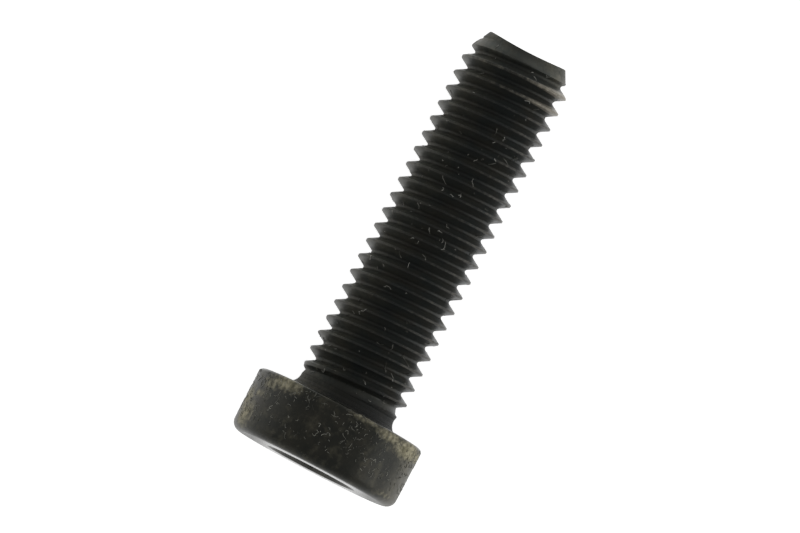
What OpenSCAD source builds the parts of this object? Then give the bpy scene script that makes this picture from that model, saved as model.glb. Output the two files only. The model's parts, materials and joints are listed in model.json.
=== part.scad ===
// Low head socket cap screw: one cold-forged steel piece with a rolled coarse thread.
// It is drawn along its own axis, bearing face at 0, and then laid down on a flat surface,
// where it touches at the head's rim and at the last full crest of the thread.

/* [Thread] */
// Major diameter, over the crests
thread_d = 9.8; // [9.6:0.05:10.4]
// Pitch of the coarse thread
pitch = 1.5; // [1.25:0.05:1.75]
// Turn of the thread about the axis, which moves its crests towards the tip
thread_turn = 40; // [0:10:350]

/* [Shank] */
// Length from the bearing face to the tip
shank_l = 34.8; // [20:0.1:60]
// Diameter of the plain neck under the head
neck_d = 9; // [8.8:0.05:9.2]
// Length of the neck, with the fillet at its root
neck_l = 1.2; // [1.15:0.05:3]
// Radius of the fillet between the neck and the bearing face
fillet_r = 1.1; // [0.4:0.05:1.1]
// Diameter of the flat end
tip_d = 7.6; // [6.8:0.05:7.6]
// Angle between the tip's chamfer and the axis
tip_angle = 28; // [25:1:45]

/* [Head] */
// Diameter of the head
head_d = 15.8; // [15:0.05:18]
// Height of the head
head_h = 5.8; // [5.6:0.05:8]
// Rounding of the edge round the drive face
drive_edge_r = 0.9; // [0.4:0.05:1.2]
// Rounding of the edge round the bearing face
bearing_edge_r = 0.35; // [0.2:0.05:0.6]

/* [Socket] */
// Width of the hexagon across its flats
socket_af = 7; // [5:0.05:8]
// Depth of the hexagon below the drive face
socket_depth = 4.5; // [3:0.05:4.5]
// Angle of the drilled floor to the floor's plane
floor_angle = 12; // [5:1:14]
// Width of the countersink round the socket's mouth
mouth_bevel = 0.25; // [0.1:0.05:0.4]

/* [Hidden] */

// Steps in one turn of the thread, each ten degrees long.
turn_steps = 36;
// Sides of a round form where OpenSCAD draws it.
$fn = 96;
// How far a cut runs past the face that it opens.
past = 0.5;

// Thread form: sixty degree flanks, a crest flat of an eighth of the pitch, a rounded root.
flank_angle = 30;
crest_flat = pitch / 8;
root_arc_r = 0.144 * pitch;
thread_depth = 17 / 24 * cos(flank_angle) * pitch;
crest_r = thread_d / 2;
root_r = crest_r - thread_depth;

// Where the root's arc meets the flanks: half its width, and its height above the root.
root_half = root_arc_r * cos(flank_angle);
root_rise = root_arc_r * (1 - sin(flank_angle));

// One pitch of the thread's outline, crest in the middle, as [place along the axis, radius].
outline = [
    [-pitch / 2, root_r],
    [root_half - pitch / 2, root_r + root_rise],
    [-crest_flat / 2, crest_r],
    [crest_flat / 2, crest_r],
    [pitch / 2 - root_half, root_r + root_rise],
    [pitch / 2, root_r]
];
// The last point is the next turn's first, so it isn't counted.
outline_n = len(outline) - 1;

// The neck's end is a small step above the thread's core, which stands in it.
neck_r = neck_d / 2;
core_step = 0.05;
core_seat = neck_l / 4;

// Over this length the grooves deepen to the root and the crests rise to their full height.
runout_l = pitch;

tip_r = tip_d / 2;
tip_l = (crest_r - tip_r) / tan(tip_angle);

// The last full crest below the axis, counted along the thread.
full_crests = floor((shank_l - tip_l - crest_flat / 2) / pitch - thread_turn / 360);
last_crest_z = (full_crests + thread_turn / 360) * pitch + crest_flat / 2;

// The angle at which the rounded rim of the head and that crest touch one flat surface.
rim_r = head_d / 2;
rise = rim_r - bearing_edge_r - crest_r;
span = last_crest_z + bearing_edge_r;
lie_angle = atan2(rise, span) + asin(bearing_edge_r / norm([rise, span]));

// Half the outline of a turned bar, with its low and high outer corners rounded.
module rounded_bar(r, h, low_r, high_r) {
    square([r - max(low_r, high_r), h]);
    translate([0, low_r]) square([r, h - low_r - high_r]);
    square([r - low_r, h / 2]);
    translate([0, h / 2]) square([r - high_r, h / 2]);
    translate([r - low_r, low_r]) circle(low_r);
    translate([r - high_r, h - high_r]) circle(high_r);
}

module head_blank() {
    translate([0, 0, -head_h])
        rotate_extrude() rounded_bar(rim_r, head_h, drive_edge_r, bearing_edge_r);
}

// The hexagon, its drilled floor, and the countersink that trims its corners at the mouth.
module hex_socket() {
    flat_r = socket_af / 2;
    corner_r = flat_r / cos(30);
    translate([0, 0, -head_h]) {
        translate([0, 0, -past]) cylinder(r = corner_r, h = past + socket_depth, $fn = 6);
        translate([0, 0, socket_depth - past]) cylinder(r = flat_r, h = past);
        translate([0, 0, socket_depth]) cylinder(r1 = flat_r, r2 = 0, h = flat_r * tan(floor_angle));
        translate([0, 0, -past])
            cylinder(r1 = corner_r + mouth_bevel + past, r2 = flat_r, h = corner_r + mouth_bevel + past - flat_r);
    }
}

// The neck, with its fillet on the bearing face.
module neck() {
    fillet_end = neck_r + fillet_r;
    rotate_extrude() difference() {
        polygon([
            [0, -past], [fillet_end, -past], [fillet_end, fillet_r],
            [neck_r, fillet_r], [neck_r, neck_l], [0, neck_l]
        ]);
        translate([fillet_end, fillet_r]) circle(fillet_r);
    }
}

// Least radius at a place along the shank: what fills the grooves next to the neck.
function groove_floor(z) = lookup(z, [[neck_l, neck_r - core_step], [neck_l + runout_l, root_r]]);

// Greatest radius there: crests that rise from the neck, and the tip's chamfer.
function crest_limit(z) = lookup(z, [
    [neck_l, neck_r - core_step], [neck_l + runout_l, crest_r], [shank_l - tip_l, crest_r], [shank_l, tip_r]
]);

// The thread's radius at a place along the shank and an angle round it.
function thread_r(z, angle) =
    let (
        past_crest = z - pitch * (angle + thread_turn) / 360,
        phase = past_crest - pitch * round(past_crest / pitch)
    )
    min(crest_limit(z), max(lookup(phase, outline), groove_floor(z)));

// A point of the thread, by its step along the helix and its place in the outline.
function thread_point(step, k) =
    let (
        angle = 360 / turn_steps * (step % turn_steps),
        place = pitch * (step / turn_steps + thread_turn / 360 - 1) + outline[k][0],
        z = max(neck_l - core_seat, min(shank_l, place)),
        r = thread_r(z, angle)
    )
    [r * cos(angle), r * sin(angle), z];

// Past the outline's last point comes the first point of the next turn.
function thread_index(step, k) = k < outline_n ? step * outline_n + k : (step + turn_steps) * outline_n;

// Right-hand thread from inside the neck to the tip, closed at each end by a flat fan.
module thread() {
    steps = (ceil(shank_l / pitch) + 2) * turn_steps;
    points = [for (step = [0:steps], k = [0:outline_n - 1]) thread_point(step, k)];
    low_end = len(points);
    high_end = low_end + 1;
    wall = [
        for (step = [0:steps - 1], k = [0:outline_n - 1])
            if (k < outline_n - 1 || step < steps - turn_steps)
                let (a = thread_index(step, k), b = thread_index(step + 1, k),
                     c = thread_index(step + 1, k + 1), d = thread_index(step, k + 1))
                each [[a, c, b], [a, d, c]]
    ];
    low_edge = [
        for (step = [0:turn_steps]) thread_index(step, 0),
        for (k = [outline_n - 1:-1:1]) thread_index(0, k)
    ];
    high_edge = [
        for (step = [steps - turn_steps:steps]) thread_index(step, outline_n - 1),
        for (k = [outline_n - 2:-1:0]) thread_index(steps, k)
    ];
    polyhedron(
        points = concat(points, [[0, 0, neck_l - core_seat], [0, 0, shank_l]]),
        faces = concat(
            wall,
            [for (i = [0:len(low_edge) - 1])
                [low_end, low_edge[i], low_edge[(i + 1) % len(low_edge)]]],
            [for (i = [0:len(high_edge) - 1])
                [high_end, high_edge[(i + 1) % len(high_edge)], high_edge[i]]]
        )
    );
}

module cap_screw() {
    color([0.13, 0.13, 0.12]) {
        difference() {
            union() {
                head_blank();
                neck();
            }
            hex_socket();
        }
        thread();
    }
}

// Lays the screw down, its axis along +X and the tip lower than the head.
module lying() {
    rotate([0, 90 + lie_angle, 0]) children();
}

lying() cap_screw();
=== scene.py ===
"""Low head socket cap screw, M10 x 35, in black oxide steel, lying on a pale table.

The screw is built along its own axis, in millimetres: z runs from the head's bearing face to
the tip, x points down to the table and y across it. One matrix, taken from the frame's thread
mount, then lays every mesh down in metres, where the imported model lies.
"""
import json
import logging
import math
from collections.abc import Callable, Sequence
from dataclasses import dataclass
from enum import Enum
from functools import partial
from typing import Any

import bmesh
import bpy
from mathutils import Matrix, Vector, noise


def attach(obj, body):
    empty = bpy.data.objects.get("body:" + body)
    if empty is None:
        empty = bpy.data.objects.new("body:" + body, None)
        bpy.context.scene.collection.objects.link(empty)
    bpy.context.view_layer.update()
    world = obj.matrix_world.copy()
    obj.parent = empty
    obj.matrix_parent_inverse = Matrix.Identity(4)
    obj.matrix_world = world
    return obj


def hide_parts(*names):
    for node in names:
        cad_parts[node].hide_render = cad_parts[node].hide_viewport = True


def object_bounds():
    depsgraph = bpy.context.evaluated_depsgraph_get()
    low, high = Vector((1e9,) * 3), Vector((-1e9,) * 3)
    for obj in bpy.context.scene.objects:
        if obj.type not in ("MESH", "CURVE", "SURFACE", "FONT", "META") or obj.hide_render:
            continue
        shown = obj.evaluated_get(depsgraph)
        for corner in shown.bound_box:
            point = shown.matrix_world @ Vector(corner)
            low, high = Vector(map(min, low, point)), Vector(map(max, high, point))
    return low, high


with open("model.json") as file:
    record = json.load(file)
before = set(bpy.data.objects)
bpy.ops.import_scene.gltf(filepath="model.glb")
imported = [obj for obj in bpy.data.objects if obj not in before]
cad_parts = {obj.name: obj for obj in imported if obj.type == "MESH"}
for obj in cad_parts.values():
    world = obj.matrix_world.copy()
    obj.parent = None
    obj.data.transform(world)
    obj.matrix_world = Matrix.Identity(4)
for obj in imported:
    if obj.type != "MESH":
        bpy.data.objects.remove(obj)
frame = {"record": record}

LOG = logging.getLogger("cap_screw")
CAD_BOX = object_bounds()
CAD_NODE = "cap_screw"
BODY = "root"
MM = 0.001

Ring = list[tuple[float, float]]


# ---------------------------------------------------------------- helpers


def srgb(code: str) -> tuple[float, float, float, float]:
    """Turns an sRGB hex colour into linear RGBA.

    Args:
        code: The colour, such as "#1a1b1a".

    Returns:
        Linear red, green and blue, and an alpha of 1.
    """
    parts = [int(code[i:i + 2], 16) / 255 for i in (1, 3, 5)]
    linear = [p / 12.92 if p <= 0.04045 else ((p + 0.055) / 1.055) ** 2.4 for p in parts]
    return (linear[0], linear[1], linear[2], 1.0)


def add(tree: bpy.types.NodeTree, kind: str, *inputs: Any, at: dict[str, Any] | None = None,
        **settings: Any) -> bpy.types.Node:
    """Adds a node, with its settings and what goes into it.

    Args:
        tree: The node tree.
        kind: The node's type.
        *inputs: What goes into its first sockets, in order: a value, a socket or another
            node, whose first output in use is then linked. None leaves a socket alone.
        at: The same for sockets called by name.
        **settings: The node's own properties.

    Returns:
        The new node.
    """
    new = tree.nodes.new(kind)
    for name, value in settings.items():
        setattr(new, name, value)
    for key, value in [*enumerate(inputs), *(at or {}).items()]:
        if isinstance(value, bpy.types.Node):
            value = next(socket for socket in value.outputs if socket.enabled)
        if isinstance(value, bpy.types.NodeSocket):
            tree.links.new(value, new.inputs[key])
        elif value is not None:
            new.inputs[key].default_value = value
    return new


def geometry_tree(name: str, sockets: dict[str, str], result: str) -> bpy.types.NodeTree:
    """Starts a geometry tree with named inputs.

    Args:
        name: The tree's name.
        sockets: Its inputs, as names and the kinds of their sockets.
        result: Name of its output.

    Returns:
        The tree, still without nodes.
    """
    tree = bpy.data.node_groups.new(name, "GeometryNodeTree")
    for socket, kind in sockets.items():
        tree.interface.new_socket(socket, in_out="INPUT", socket_type=f"NodeSocket{kind}")
    tree.interface.new_socket(result, in_out="OUTPUT", socket_type="NodeSocketGeometry")
    return tree


def grown(name: str, start: bpy.types.Mesh, tree: bpy.types.NodeTree,
          values: dict[str, Any]) -> bpy.types.Mesh:
    """Runs a geometry tree on a mesh and gives the result as a plain mesh.

    Args:
        name: Name of the result.
        start: The mesh that goes in.
        tree: The tree to run.
        values: What the tree's named inputs are set to.

    Returns:
        The new mesh.
    """
    source = new_piece(name, start)
    modifier = source.modifiers.new(name, "NODES")
    modifier.node_group = tree
    for item in tree.interface.items_tree:
        if item.in_out == "INPUT" and item.name in values:
            modifier[item.identifier] = values[item.name]
    graph = bpy.context.evaluated_depsgraph_get()
    made = bpy.data.meshes.new_from_object(source.evaluated_get(graph))
    bpy.data.objects.remove(source)
    made.name = name
    return made


def fresh_nodes(owner: bpy.types.Material | bpy.types.World) -> Callable[..., bpy.types.Node]:
    """Empties a material's or a world's node tree.

    Args:
        owner: The material or world.

    Returns:
        What adds a node to that tree.
    """
    owner.use_nodes = True
    owner.node_tree.nodes.clear()
    return partial(add, owner.node_tree)


def new_piece(name: str, data: bpy.types.ID) -> bpy.types.Object:
    """Links a new object to the scene.

    Args:
        name: The object's name.
        data: Its mesh, lamp or camera.

    Returns:
        The object.
    """
    piece = bpy.data.objects.new(name, data)
    bpy.context.scene.collection.objects.link(piece)
    return piece


def mount(name: str) -> dict[str, Any]:
    """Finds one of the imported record's mounts by its name."""
    return next(found for found in frame["record"]["mounts"] if found["name"] == name)


# ---------------------------------------------------------------- sizes


@dataclass(frozen=True)
class LyingAxis:
    """The screw's own axes in the frame.

    Attributes:
        origin: Centre of the bearing face, in metres.
        towards_tip: Direction from the head to the tip.
    """

    origin: Vector
    towards_tip: Vector

    @classmethod
    def from_frame(cls) -> "LyingAxis":
        """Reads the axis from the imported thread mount."""
        thread = mount("thread")
        return cls(Vector(thread["pos_m"]), Vector(thread["axis"]).normalized())

    def turn(self) -> Matrix:
        """Works out how the screw's own axes lie in the frame.

        Returns:
            The rotation from the screw's own axes to the frame's.
        """
        across = Vector((0, 1, 0))
        down = across.cross(self.towards_tip).normalized()
        return Matrix((down, across, self.towards_tip)).transposed()

    def laid_down(self) -> Matrix:
        """Gives the matrix from millimetres on the screw's axes to metres in the frame."""
        return Matrix.Translation(self.origin) @ self.turn().to_4x4() @ Matrix.Scale(MM, 4)

    def point(self, along: float) -> Vector:
        """Gives a place on the axis, from its distance past the bearing face in millimetres."""
        return self.origin + self.towards_tip * along * MM


@dataclass(frozen=True)
class ScrewSizes:
    """Sizes of the screw, in millimetres and degrees.

    Attributes:
        crest_r: Radius over the thread's crests.
        shank_l: Length from the bearing face to the tip.
        head_r: Radius of the head.
        pitch: Pitch of the thread.
        thread_turn: Turn of the thread about the axis.
        neck_r: Radius of the plain neck.
        neck_l: Length of the neck, with its fillet.
        fillet_r: Radius of the fillet on the bearing face.
        tip_r: Radius of the end.
        tip_angle: Angle between the tip's chamfer and the axis.
        head_h: Height of the head.
        drive_edge_r: Rounding of the edge round the drive face.
        bearing_edge_r: Rounding of the edge round the bearing face.
        socket_af: Width of the socket across its flats.
        socket_depth: Depth of the socket's flats.
        floor_angle: Angle of the drilled floor to its plane.
        mouth_bevel: Width of the countersink round the mouth.
        columns: Faces round the axis, a multiple of six so that the socket's corners stay crisp.
    """

    crest_r: float
    shank_l: float
    head_r: float
    pitch: float = 1.5
    thread_turn: float = 40.0
    neck_r: float = 4.5
    neck_l: float = 1.2
    fillet_r: float = 1.1
    tip_r: float = 3.8
    tip_angle: float = 28.0
    head_h: float = 5.8
    drive_edge_r: float = 0.9
    bearing_edge_r: float = 0.35
    socket_af: float = 7.0
    socket_depth: float = 4.5
    floor_angle: float = 12.0
    mouth_bevel: float = 0.25
    columns: int = 120

    @classmethod
    def from_frame(cls) -> "ScrewSizes":
        """Takes the thread's and the head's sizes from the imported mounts."""
        thread, rim = mount("thread")["dims"], mount("head_rim")["dims"]
        return cls(crest_r=thread["r_mm"], shank_l=thread["length_mm"], head_r=rim["r_mm"])

    @property
    def root_r(self) -> float:
        """Radius at the bottom of the thread's grooves."""
        return self.crest_r - 17 / 24 * math.cos(math.radians(30)) * self.pitch

    @property
    def mouth_r(self) -> float:
        """Radius of the socket's mouth, with its countersink."""
        return self.socket_af / 2 / math.cos(math.radians(30)) + self.mouth_bevel

    @property
    def tip_l(self) -> float:
        """Length of the tip's chamfer."""
        return (self.crest_r - self.tip_r) / math.tan(math.radians(self.tip_angle))


# ---------------------------------------------------------------- the screw


@dataclass(frozen=True)
class Head:
    """The cold-forged head: socket, drive face, rounded rim, bearing face and neck.

    Attributes:
        sizes: The screw's sizes.
        skin: How far the rim stays inside its nominal size, which leaves room for lint.
        unevenness: Depth of the shallow waves that forging leaves, in millimetres.
        wave: Width of those waves, in millimetres.
    """

    sizes: ScrewSizes
    skin: float = 0.02
    unevenness: float = 0.012
    wave: float = 2.6

    def circle(self, radius: float, along: float) -> Ring:
        """Gives a ring of constant radius at one place along the axis."""
        return [(radius, along)] * self.sizes.columns

    def arc(self, centre: tuple[float, float], radius: float, start: float, end: float,
            count: int) -> list[Ring]:
        """Gives the rings of a rounded edge.

        Args:
            centre: Radius and place of the arc's centre.
            radius: Radius of the arc.
            start: Angle where the arc starts, from outwards towards the tip, in degrees.
            end: Angle where it ends.
            count: Steps along the arc.

        Returns:
            One ring for each point of the arc.
        """
        turns = [math.radians(start + (end - start) * i / count) for i in range(count + 1)]
        return [self.circle(centre[0] + radius * math.cos(t), centre[1] + radius * math.sin(t))
                for t in turns]

    def hexagon(self, along: Callable[[float], float]) -> Ring:
        """Gives a ring on the socket's flats.

        Args:
            along: Place along the axis, from the radius of the flats at that column.

        Returns:
            The ring, with a corner at every sixth of a turn.
        """
        ring = []
        for i in range(self.sizes.columns):
            off_flat = math.radians((360 * i / self.sizes.columns) % 60 - 30)
            radius = self.sizes.socket_af / 2 / math.cos(off_flat)
            ring.append((radius, along(radius)))
        return ring

    def spread(self, near: float, far: float, along: float, count: int) -> list[Ring]:
        """Gives evenly spaced rings on a flat face, without its first edge."""
        return [self.circle(near + (far - near) * i / count, along) for i in range(1, count + 1)]

    def rings(self) -> list[Ring]:
        """Lists the head's rings.

        Returns:
            The rings, from the socket's floor out and round to the neck's end.
        """
        s = self.sizes
        flat_r = s.socket_af / 2
        mouth_r = s.mouth_r
        face = -s.head_h
        floor = face + s.socket_depth
        drop = math.tan(math.radians(s.floor_angle))
        softened = 0.04
        rim_r = s.head_r - self.skin
        side_low, side_high = face + s.drive_edge_r, -s.bearing_edge_r
        fillet_end = s.neck_r + s.fillet_r
        rings = [self.circle(flat_r * t, floor + flat_r * (1 - t) * drop)
                 for t in (0.03, 0.4, 0.97)]
        rings += [self.circle(flat_r, floor), self.hexagon(lambda r: floor)]
        rings += [self.hexagon(lambda r, t=t: floor + t * (face + mouth_r - r - floor))
                  for t in (0.02, 0.5, 1.0)]
        rings += [self.circle(mouth_r - softened, face + softened),
                  self.circle(mouth_r + softened, face)]
        rings += self.spread(mouth_r + softened, rim_r - s.drive_edge_r - softened, face, 8)
        rings += self.arc((rim_r - s.drive_edge_r, side_low), s.drive_edge_r, -90, 0, 12)
        rings += [self.circle(rim_r, side_low + (side_high - side_low) * i / 14)
                  for i in range(1, 14)]
        rings += self.arc((rim_r - s.bearing_edge_r, side_high), s.bearing_edge_r, 0, 90, 7)
        rings += self.spread(rim_r - s.bearing_edge_r, fillet_end, 0, 6)
        rings += self.arc((fillet_end, s.fillet_r), s.fillet_r, 270, 180, 10)[1:]
        rings.append(self.circle(s.neck_r, s.neck_l))
        return rings

    def forged(self, radius: float, turn: float, along: float) -> Vector:
        """Places one point of the head, sunk by the shallow waves of its forging.

        Args:
            radius: Distance from the axis.
            turn: Angle round the axis, in radians.
            along: Place along the axis.

        Returns:
            The point, in millimetres.
        """
        outwards = Vector((math.cos(turn), math.sin(turn), 0))
        point = outwards * radius + Vector((0, 0, along))
        on_side = max(0.0, min(1.0, (radius - self.sizes.head_r + 1.5) / 1.2))
        sunk = self.unevenness * on_side * (0.5 + 0.5 * noise.noise(point / self.wave))
        return point - outwards * sunk

    def build(self) -> bpy.types.Mesh:
        """Joins the rings to a mesh.

        Returns:
            The head, as one shell that is open at the neck.
        """
        count = self.sizes.columns
        rings = self.rings()
        mesh = bmesh.new()
        centre = mesh.verts.new((0, 0, rings[0][0][1] + 0.005))
        rows = [[mesh.verts.new(self.forged(r, math.tau * i / count, z))
                 for i, (r, z) in enumerate(ring)] for ring in rings]
        for i in range(count):
            j = (i + 1) % count
            mesh.faces.new((centre, rows[0][i], rows[0][j]))
            for low, high in zip(rows, rows[1:]):
                mesh.faces.new((low[i], high[i], high[j], low[j]))
        made = bpy.data.meshes.new("head")
        mesh.to_mesh(made)
        mesh.free()
        return made


@dataclass(frozen=True)
class RolledThread:
    """The rolled thread, from the neck to the chamfered tip.

    Attributes:
        sizes: The screw's sizes.
        crest_half: Half the width of the crest, in millimetres.
        crest_round: Rounding of the crest's corners, in millimetres.
        root_share: Radius of the root as a share of the pitch.
        flank_steps: Faces along each flank.
        crest_seam: Depth of the seam where rolling closed each crest, in millimetres.
        crest_wear: How deep the crests are worn in places, in millimetres.
        wear_size: Length of those places, in millimetres.
        end_sink: How far the cropped end lies short of its length, above and below the axis.
        end_rise: How much further it reaches to both sides of the axis.
    """

    sizes: ScrewSizes
    crest_half: float = 0.08
    crest_round: float = 0.05
    root_share: float = 0.144
    flank_steps: int = 5
    crest_seam: float = 0.02
    crest_wear: float = 0.015
    wear_size: float = 0.7
    end_sink: float = 0.16
    end_rise: float = 0.38

    def half_outline(self) -> list[tuple[float, float]]:
        """Lists half a pitch of the outline, from the crest's middle to the root's.

        Returns:
            Points as distance from the crest's middle and radius, in millimetres.
        """
        s = self.sizes
        flank = math.radians(30)
        root = self.root_share * s.pitch
        corner = self.crest_half - self.crest_round * math.tan(flank)
        points = []
        for degrees in (90, 70, 50, 30):
            t = math.radians(degrees)
            points.append((corner + self.crest_round * math.cos(t),
                           s.crest_r - self.crest_round * (1 - math.sin(t))))
        start = points[-1]
        end = (s.pitch / 2 - root * math.cos(flank), s.root_r + root * (1 - math.sin(flank)))
        for i in range(1, self.flank_steps):
            share = i / self.flank_steps
            points.append((start[0] + (end[0] - start[0]) * share,
                           start[1] + (end[1] - start[1]) * share))
        for degrees in (210, 230, 250, 270):
            t = math.radians(degrees)
            points.append((s.pitch / 2 + root * math.cos(t), s.root_r + root * (1 + math.sin(t))))
        return points

    def outline(self) -> bpy.types.Mesh:
        """Builds one pitch of the outline, root to root.

        Returns:
            Points with x as radius and z as distance from the crest's middle.
        """
        half = self.half_outline()
        seam = [(0.0, self.sizes.crest_r - self.crest_seam)]
        whole = [(-along, radius) for along, radius in reversed(half)] + seam + half
        made = bpy.data.meshes.new("thread_outline")
        made.from_pydata([(radius, 0.0, along) for along, radius in whole], [], [])
        return made

    def tree(self) -> bpy.types.NodeTree:
        """Builds the node tree that sweeps the outline along the helix.

        Returns:
            The tree. Its input geometry is the outline's points.
        """
        lengths = ("Pitch", "Start", "Turns", "Neck Radius", "Neck Length", "Root Radius",
                   "Crest Radius", "Run-out", "Length", "Chamfer Length", "Tip Radius",
                   "End Sink", "End Rise", "Crest Wear", "Wear Size")
        sockets = {"Outline": "Geometry", "Columns": "Int", "Outline Points": "Int",
                   "Finish": "Material"} | dict.fromkeys(lengths, "Float")
        tree = geometry_tree("RolledThread", sockets, "Thread")
        node = partial(add, tree)
        given = node("NodeGroupInput").outputs

        # A flat grid holds one row of outline points for each step along the helix.
        steps = node("ShaderNodeMath", given["Turns"], given["Columns"], 1.0,
                     operation="MULTIPLY_ADD")
        grid = node("GeometryNodeMeshGrid", at={"Vertices X": steps,
                                                "Vertices Y": given["Outline Points"]})
        index = node("GeometryNodeInputIndex")
        share = node("ShaderNodeMath", node("ShaderNodeMath", index, 0.5, operation="ADD"),
                     given["Outline Points"], operation="DIVIDE")
        step = node("ShaderNodeMath", share, operation="FLOOR")
        passed = node("ShaderNodeMath", step, given["Outline Points"], operation="MULTIPLY")
        sampled = node("GeometryNodeSampleIndex", at={
            "Geometry": given["Outline"], "Value": node("GeometryNodeInputPosition"),
            "Index": node("ShaderNodeMath", index, passed, operation="SUBTRACT")},
            data_type="FLOAT_VECTOR", domain="POINT")
        point = node("ShaderNodeSeparateXYZ", sampled).outputs

        # The step gives the turn, and with it the end that the cropping left there.
        turned = node("ShaderNodeMath", step, given["Columns"], operation="DIVIDE")
        angle = node("ShaderNodeMath", node("ShaderNodeMath", turned, operation="FRACT"), math.tau,
                     operation="MULTIPLY")
        down = node("ShaderNodeMath", angle, operation="COSINE")
        across = node("ShaderNodeMath", angle, operation="SINE")
        sideways = node("ShaderNodeMath", across, 2.0, operation="POWER")
        end = node("ShaderNodeMath", sideways, given["End Rise"],
                   node("ShaderNodeMath", given["Length"], given["End Sink"],
                        operation="SUBTRACT"), operation="MULTIPLY_ADD")

        # The place along the shank is held between the neck and that end.
        helix = node("ShaderNodeMath", node("ShaderNodeMath", turned, given["Start"],
                                            operation="ADD"),
                     given["Pitch"], point["Z"], operation="MULTIPLY_ADD")
        short = node("ShaderNodeMath", helix, end, operation="MINIMUM")
        along = node("ShaderNodeMath", short, given["Neck Length"], operation="MAXIMUM")

        # Grooves deepen and crests rise over the run-out, and the chamfer cuts the last crests.
        run_end = node("ShaderNodeMath", given["Neck Length"], given["Run-out"], operation="ADD")
        floor = node("ShaderNodeMapRange", along, given["Neck Length"], run_end,
                     given["Neck Radius"], given["Root Radius"])
        rise = node("ShaderNodeMapRange", along, given["Neck Length"], run_end,
                    given["Neck Radius"], given["Crest Radius"])
        cut = node("ShaderNodeMath", given["Length"], given["Chamfer Length"],
                   operation="SUBTRACT")
        chamfer = node("ShaderNodeMapRange", along, cut, given["Length"], given["Crest Radius"],
                       given["Tip Radius"], clamp=False)
        rolled = node("ShaderNodeMath", point["X"], floor, operation="MAXIMUM")
        lower = node("ShaderNodeMath", rolled, rise, operation="MINIMUM")
        radius = node("ShaderNodeMath", lower, chamfer, operation="MINIMUM")

        # Handling wears the crests in places and leaves the flanks and roots alone.
        below = node("ShaderNodeMath", given["Crest Radius"], 0.12, operation="SUBTRACT")
        crest = node("ShaderNodeMapRange", radius, below, given["Crest Radius"])
        turn = node("ShaderNodeCombineXYZ", down, across)
        shell = node("ShaderNodeVectorMath", turn, at={"Scale": radius}, operation="SCALE")
        place = node("ShaderNodeVectorMath", shell, node("ShaderNodeCombineXYZ", 0.0, 0.0, along))
        fine = node("ShaderNodeMath", 1.0, given["Wear Size"], operation="DIVIDE")
        patch = node("ShaderNodeMapRange", node("ShaderNodeTexNoise", place, at={
            "Scale": fine, "Detail": 3.0, "Roughness": 0.6}), 0.45, 0.75)
        worn = node("ShaderNodeMath", node("ShaderNodeMath", patch, given["Crest Wear"],
                                           operation="MULTIPLY"), crest, operation="MULTIPLY")
        sunk = node("ShaderNodeVectorMath", turn, at={
            "Scale": node("ShaderNodeMath", worn, -1.0, operation="MULTIPLY")}, operation="SCALE")
        swept = node("GeometryNodeSetPosition", grid, at={
            "Position": node("ShaderNodeVectorMath", place, sunk)})
        welded = node("GeometryNodeMergeByDistance", swept, at={"Distance": 0.002})
        realized = node("GeometryNodeRealizeInstances", welded)
        coated = node("GeometryNodeSetMaterial", realized, at={"Material": given["Finish"]})
        node("NodeGroupOutput", coated)
        return tree

    def build(self, finish: bpy.types.Material) -> bpy.types.Mesh:
        """Runs the tree with the screw's sizes.

        Args:
            finish: The steel's material.

        Returns:
            The thread, as one shell that is open at the neck and at the tip.
        """
        s = self.sizes
        outline = self.outline()
        return grown("thread", outline, self.tree(), {
            "Pitch": s.pitch, "Start": s.thread_turn / 360 - 1,
            "Turns": float(math.ceil(s.shank_l / s.pitch) + 2), "Columns": s.columns,
            "Outline Points": len(outline.vertices), "Neck Radius": s.neck_r,
            "Neck Length": s.neck_l, "Root Radius": s.root_r, "Crest Radius": s.crest_r,
            "Run-out": s.pitch, "Length": s.shank_l, "Chamfer Length": s.tip_l,
            "Tip Radius": s.tip_r, "End Sink": self.end_sink, "End Rise": self.end_rise,
            "Crest Wear": self.crest_wear, "Wear Size": self.wear_size, "Finish": finish})


@dataclass(frozen=True)
class CapScrew:
    """The whole screw: head and thread welded into one closed mesh.

    Attributes:
        sizes: The screw's sizes.
        axis: Where it lies.
        weld: Distance at which points are joined, in millimetres.
        end_dish: Depth of the hollow that rolling leaves in the end, in millimetres.
        crease: Edges sharper than this stay crisp, in degrees.
    """

    sizes: ScrewSizes
    axis: LyingAxis
    weld: float = 0.002
    end_dish: float = 0.25
    crease: float = 34.0

    def build(self, finish: bpy.types.Material) -> bpy.types.Object:
        """Builds, welds, lays down and dresses the screw.

        Args:
            finish: The steel's material.

        Returns:
            The screw, which stands for the CAD node.
        """
        shell = bmesh.new()
        shell.from_mesh(Head(self.sizes).build())
        shell.from_mesh(RolledThread(self.sizes).build(finish))
        bmesh.ops.remove_doubles(shell, verts=shell.verts, dist=self.weld)
        rim = [edge for edge in shell.edges if edge.is_boundary]
        end = bmesh.ops.holes_fill(shell, edges=rim, sides=0)["faces"]
        hollow = bmesh.ops.poke(shell, faces=end)["verts"]
        bmesh.ops.translate(shell, verts=hollow, vec=(0, 0, -self.end_dish))
        bmesh.ops.triangulate(shell, faces=[face for face in shell.faces if len(face.verts) > 4])
        bmesh.ops.recalc_face_normals(shell, faces=shell.faces)
        open_edges = sum(not edge.is_manifold for edge in shell.edges)
        LOG.info("screw shell: %d faces, %d open edges", len(shell.faces), open_edges)
        shell.transform(self.axis.laid_down())
        mesh = bpy.data.meshes.new("low_head_cap_screw")
        shell.to_mesh(mesh)
        shell.free()
        mesh.shade_smooth()
        mesh.set_sharp_from_angle(angle=math.radians(self.crease))
        mesh.materials.clear()
        mesh.materials.append(finish)
        piece = new_piece("low_head_cap_screw", mesh)
        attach(piece, BODY)
        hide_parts(CAD_NODE)
        return piece


# ---------------------------------------------------------------- finishes


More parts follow.
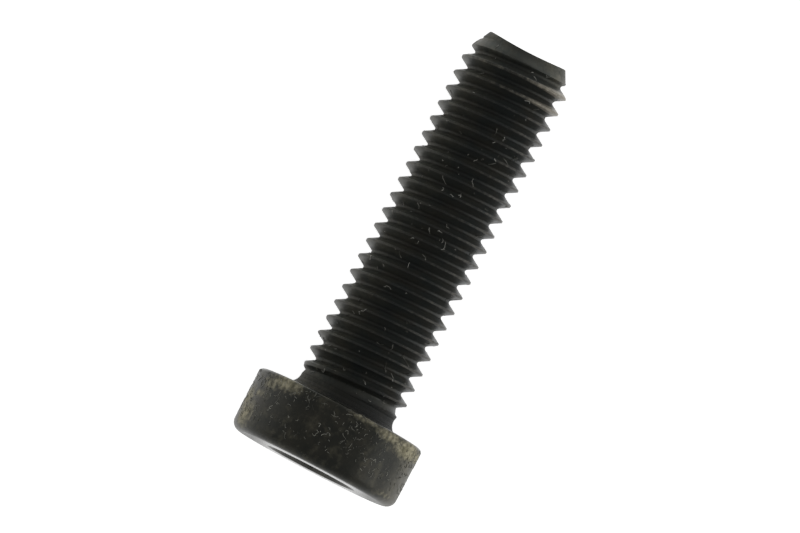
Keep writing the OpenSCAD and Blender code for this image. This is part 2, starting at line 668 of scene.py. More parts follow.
@dataclass(frozen=True)
class DustPatch:
    """A dusty patch on the side of the head.

    Attributes:
        angle: Where it is round the axis, from straight up, in degrees.
        along: Where it is along the axis, in millimetres.
        half_arc: Half its width round the head, in millimetres.
        half_along: Half its width along the axis, in millimetres.
        share: How thick the dust is.
    """

    angle: float
    along: float
    half_arc: float
    half_along: float
    share: float


@dataclass(frozen=True)
class Surface:
    """What a pattern on the screw's surface starts from.

    Attributes:
        node: Adds a node to the material.
        where: Coordinates on the screw's own axes, in millimetres.
        part: The same, split in three.
        radius: Distance from the axis.
        on_head: Whether it is on the head, from 0 to 1.
        past_head: Whether it is past the bearing face, from 0 to 1.
    """

    node: Callable[..., bpy.types.Node]
    where: bpy.types.Node
    part: Any
    radius: bpy.types.Node
    on_head: bpy.types.Node
    past_head: bpy.types.Node


@dataclass(frozen=True)
class BlackOxideSteel:
    """Alloy steel, cold forged and thread rolled, blackened in a hot oxide bath.

    The bath leaves a thin film of magnetite: close to black and satin, and bright only where it
    is seen at a low angle. Old oil on it holds dust, and handling rubs the crests to grey steel.
    The oil also carries painted shade in the roots and round the neck, the grooves are painted
    lighter than the crests to lift their shade, the dust on one rim is partly painted light, and
    the extra grey on one side of the crests is painted highlight.

    Attributes:
        axis: Where the screw lies, for patterns that follow its own axes.
        sizes: The screw's sizes.
        crest_film: The film on the thread's crests, cooler and warmer.
        groove_film_lifted: The same in its grooves, painted lighter than on the crests: painted
            fill light that lifts the shade in the grooves.
        head_film: The same on the head and the neck.
        oil_shade_tone: Colour of oiled film in the roots and round the neck, which also paints the
            shade there.
        dust_tones: Darker and lighter dust.
        rubbed_steel_and_glint: Colour of steel where the film is worn off, and of the painted
            highlights on one side of the crests.
        metallic: How far the film reflects as a metal does.
        specular: Level of its shine beside the metallic share, low under the bath's grain.
        satin: Roughness of its glossiest blotches.
        cloud: Width of the film's clouds of tone, in millimetres.
        blotch: Width of its duller and glossier blotches.
        etch: Width of the bath's grain, drawn about twice its real size so that it shows.
        ridge: Spacing of the ridges that the die leaves round the neck.
        crumb: Width of the crumbs that break up thick dust.
        dust_cloud: Width of the clouds in thin dust.
        scuff: Length of the scuffs on worn crests, which also break up the painted crest
            highlights.
        relief: Height of the grain that the light shows, in millimetres.
        patches: Where dust has settled on the head.
    """

    axis: LyingAxis
    sizes: ScrewSizes
    crest_film: tuple[str, str] = ("#252827", "#2b2b28")
    groove_film_lifted: tuple[str, str] = ("#3c403e", "#43433d")
    head_film: tuple[str, str] = ("#282925", "#32312b")
    oil_shade_tone: str = "#131312"
    dust_tones: tuple[str, str] = ("#6c6851", "#aca68e")
    rubbed_steel_and_glint: str = "#8f897c"
    metallic: float = 0.35
    specular: float = 0.2
    satin: float = 0.31
    cloud: float = 1.8
    blotch: float = 0.35
    etch: float = 0.09
    ridge: float = 0.3
    crumb: float = 0.4
    dust_cloud: float = 1.1
    scuff: float = 0.5
    relief: float = 0.006
    patches: Sequence[DustPatch] = (
        DustPatch(-42, -0.5, 2.4, 0.9, 0.8),
        DustPatch(-55, -1.0, 1.5, 0.9, 0.6),
        DustPatch(-68, -4.3, 1.8, 1.6, 0.93),
        DustPatch(-76, -3.0, 1.6, 1.7, 0.85),
        DustPatch(-62, -2.2, 1.1, 0.5, 0.55),
        DustPatch(61, -0.8, 2.8, 1.1, 1.3),
        DustPatch(78, -0.9, 1.8, 0.7, 1.1),
        DustPatch(38, -0.5, 2.2, 0.7, 0.85),
        DustPatch(16, -0.3, 2.6, 0.4, 0.5),
        DustPatch(60, -5.1, 1.8, 0.4, 0.5),
        DustPatch(128, -3.2, 2.6, 1.6, 0.8),
        DustPatch(178, -2.2, 3.0, 1.5, 0.75),
        DustPatch(-140, -1.5, 2.2, 1.4, 0.8),
    )

    def build(self) -> bpy.types.Material:
        """Builds the steel's material.

        Returns:
            The material, on Object coordinates.
        """
        steel = bpy.data.materials.new("black_oxide_steel")
        on = self.surface(fresh_nodes(steel))
        neck = self.neck(on)
        oil_and_shade = self.oil_and_shade(on, neck)
        dust_and_rim_light = self.dust_and_rim_light(on)
        blotches = on.node("ShaderNodeTexNoise", on.where, at={
            "Scale": 1 / self.blotch, "Detail": 3.0})
        shader = on.node("ShaderNodeBsdfPrincipled", self.colour(on, oil_and_shade, dust_and_rim_light), at={
            "Roughness": self.dullness(on, blotches, oil_and_shade, dust_and_rim_light), "Metallic": self.metallic,
            "Specular IOR Level": self.specular, "Normal": self.grain(on, blotches, neck, dust_and_rim_light)})
        on.node("ShaderNodeOutputMaterial", shader)
        return steel

    def surface(self, node: Callable[..., bpy.types.Node]) -> Surface:
        """Turns Object coordinates to the screw's own axes and scales them to millimetres.

        Args:
            node: Adds a node to the material.

        Returns:
            What every pattern starts from.
        """
        where = node("ShaderNodeMapping", node("ShaderNodeTexCoord").outputs["Object"], at={
            "Rotation": self.axis.turn().transposed().to_euler(), "Scale": (1 / MM,) * 3})
        part = node("ShaderNodeSeparateXYZ", where).outputs
        outwards = node("ShaderNodeVectorMath", where, (1, 1, 0), operation="MULTIPLY")
        radius = node("ShaderNodeVectorMath", outwards, operation="LENGTH")
        on_head = node("ShaderNodeMapRange", part["Z"], 0.3, -0.1)
        past_head = node("ShaderNodeMapRange", part["Z"], -0.1, 0.05)
        return Surface(node, where, part, radius, on_head, past_head)

    def neck(self, on: Surface) -> bpy.types.Node:
        """Finds the neck and the middle of the bearing face.

        Args:
            on: The surface.

        Returns:
            Whether a point is there, from 0 to 1.
        """
        at_neck = on.node("ShaderNodeMapRange", on.part["Z"], 1.9, 1.3)
        low = on.node("ShaderNodeMapRange", on.radius, self.sizes.head_r - 1.2,
                      self.sizes.head_r - 2.0)
        both = on.node("ShaderNodeMath", at_neck, low, operation="MULTIPLY")
        return on.node("ShaderNodeMath", both, on.past_head, operation="MULTIPLY")

    def oil_and_shade(self, on: Surface, neck: bpy.types.Node) -> bpy.types.Node:
        """Leaves old oil in the thread's roots and round the neck, which also paints the shade
        that falls there, heavier on one side of the thread.

        Args:
            on: The surface.
            neck: Where the neck is.

        Returns:
            How oily it is, and how deep the painted shade is, from 0 to 1.
        """
        node = on.node
        # Painted shade: the roots and the neck are darkened where shade falls, more on one side of
        # the thread.
        in_roots = node("ShaderNodeMapRange", on.radius, self.sizes.root_r + 0.3,
                        self.sizes.root_r + 0.05)
        one_side = node("ShaderNodeMapRange", on.part["Y"], -2.5, 0.5, 0.55, 0.8)
        a_little = node("ShaderNodeMath", in_roots, one_side, operation="MULTIPLY")
        on_thread = node("ShaderNodeMath", a_little, on.past_head, operation="MULTIPLY")
        return node("ShaderNodeMath", on_thread, neck, operation="MAXIMUM")

    def colour(self, on: Surface, oil_and_shade: bpy.types.Node, dust_and_rim_light: bpy.types.Node) -> bpy.types.Node:
        """Colours the film, what lies on it and the steel that shows through it.

        Args:
            on: The surface.
            oil_and_shade: How oily it is, with the painted shade in the roots and round the neck.
            dust_and_rim_light: How dusty it is, with painted light on one rim of the head.

        Returns:
            The colour.
        """
        node = on.node

        # The film itself: near black and cooler on the thread. Its grooves are painted lighter
        # than its crests, as painted fill light that lifts the shade that falls in them.
        clouds = node("ShaderNodeTexNoise", on.where, at={
            "Scale": 1 / self.cloud, "Detail": 3.0})
        tone = node("ShaderNodeMapRange", clouds, 0.38, 0.64)
        crests, lifted_grooves, round_head = (
            node("ShaderNodeMix", at={"Factor": tone, 6: srgb(cooler), 7: srgb(warmer)},
                 data_type="RGBA")
            for cooler, warmer in (self.crest_film, self.groove_film_lifted, self.head_film))
        deep = node("ShaderNodeMapRange", on.radius, self.sizes.crest_r - 0.02,
                    self.sizes.root_r + 0.1)
        on_thread = node("ShaderNodeMix", at={"Factor": deep, 6: crests, 7: lifted_grooves},
                         data_type="RGBA")
        bare = node("ShaderNodeMix", at={
            "Factor": on.on_head, 6: on_thread, 7: round_head}, data_type="RGBA")

        # Old oil with painted shade darkens the roots and the neck, khaki dust lies over both with
        # a little painted light on one rim, and rubbed crests show the steel, with painted
        # highlights on one side.
        darkened = node("ShaderNodeMath", oil_and_shade, 0.6, operation="MULTIPLY")
        film = node("ShaderNodeMix", at={
            "Factor": darkened, 6: bare, 7: srgb(self.oil_shade_tone)}, data_type="RGBA")
        crumbs = node("ShaderNodeTexNoise", on.where, at={"Scale": 1 / self.crumb})
        tint = node("ShaderNodeMapRange", crumbs, 0.3, 0.65)
        darker, lighter = self.dust_tones
        khaki = node("ShaderNodeMix", at={
            "Factor": tint, 6: srgb(darker), 7: srgb(lighter)}, data_type="RGBA")
        dusty = node("ShaderNodeMix", at={"Factor": dust_and_rim_light, 6: film, 7: khaki}, data_type="RGBA")
        return node("ShaderNodeMix", at={
            "Factor": self.rubbed_and_glints(on), 6: dusty, 7: srgb(self.rubbed_steel_and_glint)}, data_type="RGBA")

    def dullness(self, on: Surface, blotches: bpy.types.Node, oil_and_shade: bpy.types.Node,
                 dust_and_rim_light: bpy.types.Node) -> bpy.types.Node:
        """Works out the roughness, which is least where the die struck the steel.

        Args:
            on: The surface.
            blotches: Duller and glossier blotches.
            oil_and_shade: How oily it is, with the painted shade in the roots and round the neck.
            dust_and_rim_light: How dusty it is, with painted light on one rim of the head.

        Returns:
            The roughness.
        """
        node, radius = on.node, on.radius

        # The socket, the drive face and the bearing edge were struck. The drive face's two
        # sides have dulled since.
        far_out = node("ShaderNodeMath", on.part["Y"], operation="ABSOLUTE")
        kept_smooth = node("ShaderNodeMapRange", far_out, 3.8, 5.6, 1.5, 0.1)
        face = node("ShaderNodeMapRange", on.part["Z"], 0.1 - self.sizes.head_h,
                    0.02 - self.sizes.head_h, 0.0, kept_smooth)
        in_socket = node("ShaderNodeMapRange", radius, self.sizes.mouth_r + 0.06,
                         self.sizes.mouth_r + 0.02)
        punched = node("ShaderNodeMath", in_socket, on.on_head, operation="MULTIPLY")
        near_face = node("ShaderNodeMapRange", on.part["Z"], -0.3, -0.1)
        edge = node("ShaderNodeMapRange", radius, self.sizes.head_r - 1.0,
                    self.sizes.head_r - 0.7, 0.0, 1.5)
        bearing = node("ShaderNodeMath", near_face, edge, operation="MULTIPLY")
        struck = node("ShaderNodeMath", face, punched, operation="MAXIMUM")
        struck = node("ShaderNodeMath", struck, bearing, operation="MAXIMUM")

        # Oil and dust dull what is left of the satin.
        satin = node("ShaderNodeMath", blotches, 0.14, self.satin, operation="MULTIPLY_ADD")
        smooth = node("ShaderNodeMath", struck, -0.14, satin, operation="MULTIPLY_ADD")
        oiled = node("ShaderNodeMath", oil_and_shade, 0.25, smooth, operation="MULTIPLY_ADD")
        return node("ShaderNodeMath", dust_and_rim_light, 0.35, oiled, operation="MULTIPLY_ADD")

    def grain(self, on: Surface, blotches: bpy.types.Node, neck: bpy.types.Node,
              dust_and_rim_light: bpy.types.Node) -> bpy.types.Node:
        """Raises the bath's fine grain and the ridges that the die draws round the neck.

        Args:
            on: The surface.
            blotches: Duller and glossier blotches.
            neck: Where the neck is.
            dust_and_rim_light: How dusty it is, with painted light on one rim of the head.

        Returns:
            The bumped normal.
        """
        node = on.node
        etched = node("ShaderNodeTexNoise", on.where, at={"Scale": 1 / self.etch, "Detail": 3.0})
        drawn = node("ShaderNodeMath", on.radius, on.part["Z"], operation="SUBTRACT")
        ridges = node("ShaderNodeTexNoise", at={
            "W": drawn, "Scale": 1 / self.ridge, "Detail": 1.0}, noise_dimensions="1D")
        on_neck = node("ShaderNodeMath", ridges, neck, operation="MULTIPLY")
        marked = node("ShaderNodeMath", on_neck, 12.0, etched, operation="MULTIPLY_ADD")
        raised = node("ShaderNodeMath", blotches, 1.5, marked, operation="MULTIPLY_ADD")
        height = node("ShaderNodeMath", dust_and_rim_light, 0.6, raised, operation="MULTIPLY_ADD")
        return node("ShaderNodeBump", at={
            "Height": height, "Distance": self.relief * MM, "Strength": 1.0})

    def dust_and_rim_light(self, on: Surface) -> bpy.types.Node:
        """Lays thick patches of dust on the head, broken up, and a thin haze all over, thicker on
        one rim, where it is partly painted light.

        Args:
            on: The surface.

        Returns:
            How dusty it is, with that painted light, from 0 to 1.
        """
        node, part, on_head = on.node, on.part, on.on_head
        up = node("ShaderNodeMath", part["X"], -1.0, operation="MULTIPLY")
        aside = node("ShaderNodeMath", part["Y"], -1.0, operation="MULTIPLY")
        from_top = node("ShaderNodeMath", aside, up, operation="ARCTAN2")
        arc = node("ShaderNodeMath", from_top, self.sizes.head_r, operation="MULTIPLY")
        unrolled = node("ShaderNodeCombineXYZ", arc, part["Z"])
        thick: Any = 0.0
        for patch in self.patches:
            centre = (math.radians(patch.angle) * self.sizes.head_r, patch.along, 0.0)
            gap = node("ShaderNodeVectorMath", unrolled, centre, operation="SUBTRACT")
            shrunk = node("ShaderNodeVectorMath", gap,
                          (1 / patch.half_arc, 1 / patch.half_along, 0), operation="MULTIPLY")
            far = node("ShaderNodeVectorMath", shrunk, operation="LENGTH")
            layer = node("ShaderNodeMapRange", far, 1.3, 0.0, 0.0, patch.share,
                         interpolation_type="SMOOTHSTEP")
            thick = node("ShaderNodeMath", thick, layer, operation="MAXIMUM")
        crumbs = node("ShaderNodeTexNoise", on.where, at={
            "Scale": 1 / self.crumb, "Detail": 5.0, "Roughness": 0.7})
        broken = node("ShaderNodeMath", crumbs, 1.3, -0.65, operation="MULTIPLY_ADD")
        patchy = node("ShaderNodeMath", thick, broken, operation="ADD")
        settled = node("ShaderNodeMapRange", patchy, 0.15, 1.1)

        # It lies on the head's side and the bearing face, and not on the drive face.
        reach = node("ShaderNodeMath", part["Z"], 0.4, on.radius, operation="MULTIPLY_ADD")
        outside = node("ShaderNodeMapRange", reach, 4.5, 5.3)
        settled = node("ShaderNodeMath", settled, outside, operation="MULTIPLY")
        haze = node("ShaderNodeTexNoise", on.where, at={
            "Scale": 1 / self.dust_cloud, "Detail": 4.0, "Roughness": 0.65})
        thin = node("ShaderNodeMapRange", haze, 0.5, 0.85, 0.0, 0.2)
        far_out = node("ShaderNodeMath", part["Y"], operation="ABSOLUTE")
        # The haze is thicker on one rim. It is partly dust and partly painted light, which makes
        # the side that the light falls on render paler.
        left_haze = node("ShaderNodeMapRange", part["Y"], 6.0, 7.7, 0.0, 0.05)
        right_rim_dust_and_light = node("ShaderNodeMapRange", part["Y"], -6.0, -7.7, 0.0, 0.17)
        hazy = node("ShaderNodeMath", thin, node("ShaderNodeMath", left_haze, right_rim_dust_and_light))
        both = node("ShaderNodeMath", settled, hazy, operation="MAXIMUM")
        head_dust = node("ShaderNodeMath", both, on_head, operation="MULTIPLY")

        # The thread holds a thin veil of it on one side, and its chamfered tip on both.
        veil = node("ShaderNodeMapRange", part["Y"], 0.5, 4.6, 0.0, 0.1)
        at_tip = node("ShaderNodeMapRange", part["Z"], self.sizes.shank_l - 2.0,
                      self.sizes.shank_l - 1.4)
        both_sides = node("ShaderNodeMapRange", far_out, 0.5, 4.5, 0.01, 0.17)
        end_veil = node("ShaderNodeMath", both_sides, at_tip, operation="MULTIPLY")
        veils = node("ShaderNodeMath", veil, end_veil, operation="MAXIMUM")
        uneven = node("ShaderNodeMapRange", haze, 0.35, 0.65, 0.5, 1.5)
        patchy_veil = node("ShaderNodeMath", veils, uneven, operation="MULTIPLY")
        off_head = node("ShaderNodeMath", 1.0, on_head, operation="SUBTRACT")
        thread_dust = node("ShaderNodeMath", patchy_veil, off_head, operation="MULTIPLY")
        return node("ShaderNodeMath", head_dust, thread_dust)

    def rubbed_and_glints(self, on: Surface) -> bpy.types.Node:
        """Wears the crests, most of them just short of the tip, and paints thin highlights on the
        crests on one side of the thread.

        Args:
            on: The surface.

        Returns:
            How much the film is rubbed off or painted as a highlight, from 0 to 1.
        """
        node, part = on.node, on.part

        # Handling falls on the last full crests, and only the very last wear on both sides.
        s = self.sizes
        last = node("ShaderNodeMapRange", part["Z"], s.shank_l - 4.9, s.shank_l - 4.2)
        full = node("ShaderNodeMapRange", part["Z"], s.shank_l - 1.4, s.shank_l - 1.7)
        one_side = node("ShaderNodeMapRange", part["Y"], 5.0, -4.0)
        very_last = node("ShaderNodeMapRange", part["Z"], s.shank_l - 3.4, s.shank_l - 2.9,
                         0.0, 0.6)
        sides = node("ShaderNodeMath", one_side, very_last, operation="MAXIMUM")
        near_tip = node("ShaderNodeMath", last, full, operation="MULTIPLY")
        handled = node("ShaderNodeMath", near_tip, sides, operation="MULTIPLY")

        # Only the crests' tops are rubbed, and there a little way down their flanks.
        wide = node("ShaderNodeMath", handled, 4.0, operation="POWER")
        flank = node("ShaderNodeMath", wide, 0.35, operation="MULTIPLY")
        raised = node("ShaderNodeMath", on.radius, flank)
        crest = node("ShaderNodeMapRange", raised, s.crest_r - 0.05, s.crest_r - 0.01)
        past_neck = node("ShaderNodeMapRange", part["Z"], 1.0, 2.5)
        high = node("ShaderNodeMath", crest, past_neck, operation="MULTIPLY")

        # Scuffs break it up, and one side of the whole thread has a few more: painted highlights
        # that stand in for light glinting on the crests from that side.
        right = node("ShaderNodeMapRange", part["Y"], -0.2, -4.5)
        right_glints = node("ShaderNodeMath", right, 0.2, -0.03, operation="MULTIPLY_ADD")
        scuffs = node("ShaderNodeTexNoise", on.where, at={
            "Scale": 1 / self.scuff, "Detail": 6.0, "Roughness": 0.8})
        touched = node("ShaderNodeMath", scuffs, right_glints, operation="ADD")
        spread = node("ShaderNodeMath", handled, 0.17, touched, operation="MULTIPLY_ADD")
        scuffed = node("ShaderNodeMapRange", spread, 0.52, 0.86)
        depth = node("ShaderNodeMath", handled, 0.55, 0.35, operation="MULTIPLY_ADD")
        kept = node("ShaderNodeMath", scuffed, depth, operation="MULTIPLY")
        return node("ShaderNodeMath", kept, high, operation="MULTIPLY")


@dataclass(frozen=True)
class LintFibre:
    """Cotton and packing lint: matt, and greyer or browner from fibre to fibre.

    Attributes:
        name: The material's name.
        pale: Colour of the cleanest fibres.
        dark: Colour of the dirtiest fibres.
        roughness: Roughness of them all.
    """

    name: str
    pale: str
    dark: str
    roughness: float = 0.9

    def build(self) -> bpy.types.Material:
        """Builds the fibre's material.

        Returns:
            The material, on Object coordinates.
        """
        lint = bpy.data.materials.new(self.name)
        node = fresh_nodes(lint)
        spot = node("ShaderNodeTexNoise", node("ShaderNodeTexCoord").outputs["Object"], at={
            "Scale": 0.8 / MM})
        tone = node("ShaderNodeMapRange", spot, 0.38, 0.72)
        colour = node("ShaderNodeMix", at={
            "Factor": tone, 6: srgb(self.dark), 7: srgb(self.pale)}, data_type="RGBA")
        shader = node("ShaderNodeBsdfPrincipled", colour, at={
            "Roughness": self.roughness, "Specular IOR Level": 0.2})
        node("ShaderNodeOutputMaterial", shader)
        return lint


@dataclass(frozen=True)
class WhitePaper:
    """Bleached matt paper, pressed without gloss.

    Attributes:
        white: Its colour.
        glow: Share of white that the eye and reflections see on it without the lamps.
    """

    white: str = "#f4f4f4"
    glow: float = 0.8

    def build(self) -> bpy.types.Material:
        """Builds the paper's material.

        Returns:
            The material. Its glow lights nothing, so shadows on it stay.
        """
        paper = bpy.data.materials.new("white_paper")
        node = fresh_nodes(paper)
        path = node("ShaderNodeLightPath").outputs
        seen = node("ShaderNodeMath", path["Is Camera Ray"], path["Is Glossy Ray"],
                    operation="MAXIMUM")
        seen = node("ShaderNodeMath", seen, path["Is Transmission Ray"], operation="MAXIMUM")
        lift = node("ShaderNodeMath", seen, self.glow, operation="MULTIPLY")
        glow = node("ShaderNodeEmission", at={"Strength": lift})
        matt = node("ShaderNodeBsdfDiffuse", srgb(self.white))
        node("ShaderNodeOutputMaterial", node("ShaderNodeAddShader", matt, glow))
        return paper


# ---------------------------------------------------------------- lint


class LintPlace(Enum):
    """Where lint lies on the screw."""

    HEAD = "head_lint"
    THREAD = "thread_lint"


@dataclass(frozen=True)
class Lint:
    """Short curled fibres that cling to one part of the screw.

    Attributes:
        place: Which part they lie on.
        axis: Where the screw lies.
        radius: Radius over which they are scattered, in millimetres.
        limit: Radius that none stands out of, in millimetres.
        span: Where they start and end along the axis, in millimetres.
        count: How many there are, about.
        thickness: Thickness of a fibre, in millimetres, drawn thicker than a real one to show.
        longest: Scale of the longest fibre.
        seed: Seed of every random choice.
        curls: Kinds of curl, as radius in millimetres and sweep in degrees.
        gathering: How closely the places lie where lint gathers, per millimetre.
        kink: How far drifting bends a fibre, in millimetres.
        rows: Rows of the band that they are scattered on.
        columns: Columns of that band.
    """

    place: LintPlace
    axis: LyingAxis
    radius: float
    limit: float
    span: tuple[float, float]
    count: int
    thickness: float
    longest: float
    seed: int
    curls: Sequence[tuple[float, float]] = (
        (0.8, 45), (0.3, 95), (0.18, 150), (0.4, 30), (0.15, 50), (0.06, 80))
    gathering: float = 0.45
    kink: float = 0.35
    rows: int = 12
    columns: int = 96

    def band(self) -> bpy.types.Mesh:
        """Builds the band that the fibres are scattered on.

        Returns:
            A tube round the screw's axis, open at both ends.
        """
        low, high = self.span
        points = [(self.radius * math.cos(math.tau * i / self.columns),
                   self.radius * math.sin(math.tau * i / self.columns),
                   low + (high - low) * row / self.rows)
                  for row in range(self.rows + 1) for i in range(self.columns)]
        faces = [(row * self.columns + i, row * self.columns + (i + 1) % self.columns,
                  (row + 1) * self.columns + (i + 1) % self.columns, (row + 1) * self.columns + i)
                 for row in range(self.rows) for i in range(self.columns)]
        mesh = bpy.data.meshes.new("lint_band")
        mesh.from_pydata(points, [], faces)
        return mesh

    def tree(self) -> bpy.types.NodeTree:
        """Builds the node tree that scatters, bends, drapes and thickens the fibres.

        Returns:
            The tree. Its input geometry is the band.
        """
        sockets = {"Band": "Geometry", "Density": "Float", "Thickness": "Float",
                   "Longest": "Float", "Limit": "Float", "Seed": "Int", "Screw": "Object",
                   "Finish": "Material"}
        tree = geometry_tree("Lint", sockets, "Fibres")
        node = partial(add, tree)
        given = node("NodeGroupInput").outputs
        position = node("GeometryNodeInputPosition")

        # Lint gathers in some places more than in others.
        crowd = node("ShaderNodeMapRange", node("ShaderNodeTexNoise", position, at={
            "Scale": self.gathering}), 0.38, 0.6, 0.15, 1.9)
        density = node("ShaderNodeMath", crowd, given["Density"], operation="MULTIPLY")
        spread = node("GeometryNodeDistributePointsOnFaces", given["Band"], at={
            "Density": density, "Seed": given["Seed"]}).outputs

        # Each kind of curl is one instance to pick from.
        curls = node("GeometryNodeJoinGeometry")
        for radius, sweep in self.curls:
            arc = node("GeometryNodeCurveArc", at={
                "Resolution": 9, "Radius": radius, "Sweep Angle": math.radians(sweep)},
                mode="RADIUS")
            middle = node("GeometryNodeSetPosition", arc, at={"Offset": (-radius, 0.0, 0.0)})
            single = node("GeometryNodeGeometryToInstance", middle)
            tree.links.new(single.outputs[0], curls.inputs[0])

        turn = node("FunctionNodeRandomValue", at={
            "Min": (0, 0, 0), "Max": (0, 0, math.tau), "Seed": given["Seed"]},
            data_type="FLOAT_VECTOR")
        turned = node("FunctionNodeRotateRotation", spread["Rotation"], turn,
                      rotation_space="LOCAL")
        pick = node("FunctionNodeRandomValue", at={
            4: 0, 5: len(self.curls) - 1, "Seed": given["Seed"]}, data_type="INT")
        scale = node("FunctionNodeRandomValue", at={2: 0.4, 3: given["Longest"],
                                                    "Seed": given["Seed"]})
        laid = node("GeometryNodeInstanceOnPoints", spread["Points"], at={
            "Instance": curls, "Pick Instance": True, "Instance Index": pick,
            "Rotation": turned, "Scale": scale})
        realized = node("GeometryNodeRealizeInstances", laid)
        drift = node("ShaderNodeTexNoise", position, at={"Scale": 4.0}).outputs["Color"]
        centred = node("ShaderNodeVectorMath", drift, (0.5, 0.5, 0.5), operation="SUBTRACT")
        bent = node("GeometryNodeSetPosition", realized, at={
            "Offset": node("ShaderNodeVectorMath", centred, at={"Scale": self.kink},
                           operation="SCALE")})

        # Each point of a fibre drops towards the axis until it lies on the screw.
        flat = node("ShaderNodeVectorMath", position, (1, 1, 0), operation="MULTIPLY")
        outwards = node("ShaderNodeVectorMath", flat, operation="NORMALIZE")
        above = node("ShaderNodeVectorMath", position, outwards, operation="ADD")
        inwards = node("ShaderNodeVectorMath", outwards, at={"Scale": -1.0}, operation="SCALE")
        lying = node("GeometryNodeRaycast", at={
            "Target Geometry": node("GeometryNodeObjectInfo", given["Screw"]).outputs["Geometry"],
            "Source Position": above, "Ray Direction": inwards, "Ray Length": 5.0}).outputs
        lifted = node("ShaderNodeVectorMath", outwards, at={"Scale": given["Thickness"]},
                      operation="SCALE")
        missed = node("FunctionNodeBooleanMath", lying["Is Hit"], operation="NOT")
        held_up = node("GeometryNodeDeleteGeometry", bent, missed)
        draped = node("GeometryNodeSetPosition", held_up, at={
            "Position": node("ShaderNodeVectorMath", lying["Hit Position"], lifted)})
        tube = node("GeometryNodeCurveToMesh", draped, at={
            "Profile Curve": node("GeometryNodeCurvePrimitiveCircle", 6),
            "Scale": given["Thickness"], "Fill Caps": True})

        # No fibre stands out of the limit.
        length = node("ShaderNodeVectorMath", flat, operation="LENGTH")
        share = node("ShaderNodeMath", given["Limit"], length, operation="DIVIDE")
        held = node("ShaderNodeMath", share, 1.0, operation="MINIMUM")
        pressed = node("GeometryNodeSetPosition", tube, at={
            "Position": node("ShaderNodeVectorMath", position, node(
                "ShaderNodeCombineXYZ", held, held, 1.0), operation="MULTIPLY")})
        whole = node("GeometryNodeRealizeInstances", pressed)
        coated = node("GeometryNodeSetMaterial", whole, at={"Material": given["Finish"]})
        node("NodeGroupOutput", coated)
        return tree

    def build(self, screw: bpy.types.Object, finish: bpy.types.Material) -> bpy.types.Object:
        """Scatters the fibres on the screw and lays them down with it.

        Args:
            screw: The screw that they cling to.
            finish: The fibres' material.

        Returns:
            The fibres, as one piece.
        """
        area = math.tau * self.radius * (self.span[1] - self.span[0])
        upright = screw.data.copy()
        upright.transform(self.axis.laid_down().inverted())
        target = new_piece("upright_screw", upright)
        fibres = grown(self.place.value, self.band(), self.tree(), {
            "Screw": target,
            "Density": self.count / area, "Thickness": self.thickness / 2,
            "Longest": self.longest, "Limit": self.limit, "Seed": self.seed, "Finish": finish})
        bpy.data.objects.remove(target)
        fibres.transform(self.axis.laid_down())
        for vertex in fibres.vertices:
            vertex.co.z = max(vertex.co.z, CAD_BOX[0][2])
        fibres.shade_smooth()
        piece = new_piece(self.place.value, fibres)
        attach(piece, BODY)
        return piece


# ---------------------------------------------------------------- the studio


@dataclass(frozen=True)
class OverheadCamera:
    """A long lens that looks down on the screw.

    Attributes:
        distance: Distance from the aim, in millimetres.
        lens: Focal length, in millimetres.
        aim: Distance along the screw's axis of the point aimed at, in millimetres.
        right: How far that point lies right of the frame's middle, in millimetres.
        up: How far it lies above the middle, in millimetres.
        lean: How far the camera leans from straight above towards the tip, in degrees.
        roll: Turn of the screw in the frame, clockwise from tip up, in degrees.
    """

    distance: float = 1040.28
    lens: float = 540.0
    aim: float = 14.0
    right: float = 1.403
    up: float = 0.063
    lean: float = 1.847
    roll: float = 27.512

    def build(self, axis: LyingAxis) -> bpy.types.Object:
        """Places the camera and makes it the scene's own.

        Args:
            axis: Where the screw lies.

        Returns:
            The camera.
        """
        lean, roll = math.radians(self.lean), math.radians(self.roll)
        back = Vector((math.sin(lean), 0, math.cos(lean)))
        tip_up = Vector((math.cos(lean), 0, -math.sin(lean)))
        side = Vector((0, -1, 0))
        right = math.cos(roll) * side + math.sin(roll) * tip_up
        up = -math.sin(roll) * side + math.cos(roll) * tip_up
        shift = right * self.right + up * self.up
        place = axis.point(self.aim) + MM * (back * self.distance - shift)
        data = bpy.data.cameras.new("camera")
        data.lens = self.lens
        data.sensor_width = 36.0
        data.clip_start, data.clip_end = 0.01, 10.0
        camera = new_piece("camera", data)
        camera.matrix_world = Matrix.Translation(place) @ Matrix(
            (right, up, back)).transposed().to_4x4()
        bpy.context.scene.camera = camera
        return camera


@dataclass(frozen=True)
class Softbox:
    """A large soft lamp aimed at the screw.

    Attributes:
        name: Its name.
        azimuth: Where it stands round the screw, from the tip's side, in degrees.
        height: How high it stands above the table, in degrees.
        distance: Distance from the screw, in metres.
        size: Width of its square face, in metres.
        power: Its power, in watts.
    """

    name: str
    azimuth: float
    height: float
    distance: float
    size: float
    power: float

    def build(self, target: Vector) -> bpy.types.Object:
        """Hangs the lamp.

        Args:
            target: What it is aimed at.

        Returns:
            The lamp.
        """
        data = bpy.data.lights.new(self.name, "AREA")
        data.shape = "SQUARE"
        data.size = self.size
        data.energy = self.power
        lamp = new_piece(self.name, data)
        a, h = math.radians(self.azimuth), math.radians(self.height)
        away = Vector((math.cos(a) * math.cos(h), math.sin(a) * math.cos(h), math.sin(h)))
        lamp.location = target + away * self.distance
        lamp.rotation_euler = away.to_track_quat("Z", "Y").to_euler()
        return lamp


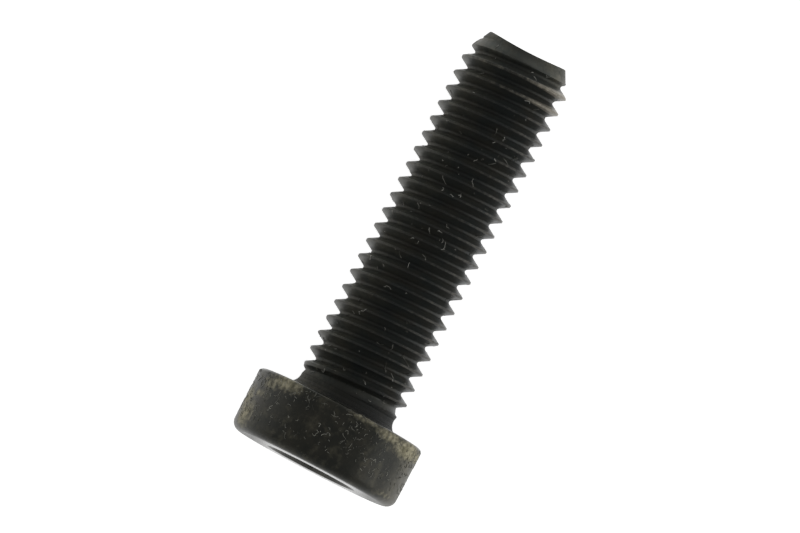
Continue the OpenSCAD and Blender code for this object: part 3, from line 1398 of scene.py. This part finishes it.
@dataclass(frozen=True)
class Studio:
    """The pale table, the soft lamps and the surroundings.

    Attributes:
        half_table: Half the table's width, in metres.
        paper: What covers the table.
        horizon: Strength of the surroundings at the table's height.
        overhead: Strength of the surroundings straight above, where the camera hangs.
        fall: How fast the surroundings dim from the one to the other.
        lamps: The soft lamps.
    """

    half_table: float = 0.9
    paper: WhitePaper = WhitePaper()
    horizon: float = 1.1
    overhead: float = 0.4
    fall: float = 3.0
    lamps: Sequence[Softbox] = (
        Softbox("left_softbox", 85, 8, 1.2, 0.8, 1.0),
        Softbox("right_softbox", -85, 8, 1.2, 0.8, 3.6),
        Softbox("tip_softbox", -20, 30, 1.2, 0.6, 1.4),
        Softbox("head_softbox", 160, 30, 1.2, 0.6, 0.6),
    )

    def table(self) -> bpy.types.Object:
        """Builds the table top.

        Returns:
            The table top, at the height of the screw's lowest point.
        """
        low = CAD_BOX[0][2]
        half = self.half_table
        mesh = bpy.data.meshes.new("table_top")
        mesh.from_pydata([(-half, -half, low), (half, -half, low), (half, half, low),
                          (-half, half, low)], [], [(0, 1, 2, 3)])
        mesh.materials.append(self.paper.build())
        table = new_piece("table_top", mesh)
        return table

    def surroundings(self) -> None:
        """Makes the world pale at the horizon and dim straight above."""
        world = bpy.data.worlds.new("studio")
        node = fresh_nodes(world)
        height = node("ShaderNodeSeparateXYZ", node("ShaderNodeTexCoord").outputs["Generated"])
        low = node("ShaderNodeMapRange", height.outputs["Z"], 0.0, 1.0, 1.0, 0.0)
        fall = node("ShaderNodeMath", low, self.fall, operation="POWER")
        strength = node("ShaderNodeMath", fall, self.horizon - self.overhead, self.overhead,
                        operation="MULTIPLY_ADD")
        node("ShaderNodeOutputWorld", node("ShaderNodeBackground", at={"Strength": strength}))
        bpy.context.scene.world = world

    def build(self, target: Vector) -> None:
        """Sets up the table, the lamps, the surroundings and the view's colours.

        Args:
            target: What the lamps are aimed at.
        """
        self.table()
        for lamp in self.lamps:
            lamp.build(target)
        self.surroundings()
        bpy.context.scene.view_settings.view_transform = "Standard"


def main() -> None:
    """Builds the camera, the studio, the screw and its lint, and reports each piece."""
    axis = LyingAxis.from_frame()
    sizes = ScrewSizes.from_frame()
    OverheadCamera().build(axis)
    Studio().build(axis.point(along=10))
    steel = BlackOxideSteel(axis, sizes).build()
    soiled = LintFibre("soiled_lint", "#aeada3", "#43433e").build()
    cotton = LintFibre("cotton_lint", "#d8d7cf", "#56564f").build()
    screw = CapScrew(sizes, axis).build(steel)
    on_head = Lint(
        LintPlace.HEAD, axis, radius=sizes.head_r, limit=sizes.head_r - 0.004,
        span=(-4.4, -0.1), count=600, thickness=0.038, longest=1.1, seed=7)
    on_thread = Lint(
        LintPlace.THREAD, axis, radius=sizes.crest_r, limit=sizes.crest_r + 0.04,
        span=(1.5, 34.0), count=330, thickness=0.046, longest=1.4, seed=5)
    for piece in (screw, on_head.build(screw, soiled), on_thread.build(screw, cotton)):
        LOG.info("%s: %d triangles", piece.name,
                 sum(len(face.vertices) - 2 for face in piece.data.polygons))


if __name__ == "__main__":
    logging.basicConfig(level=logging.INFO, format="%(message)s")
    main()
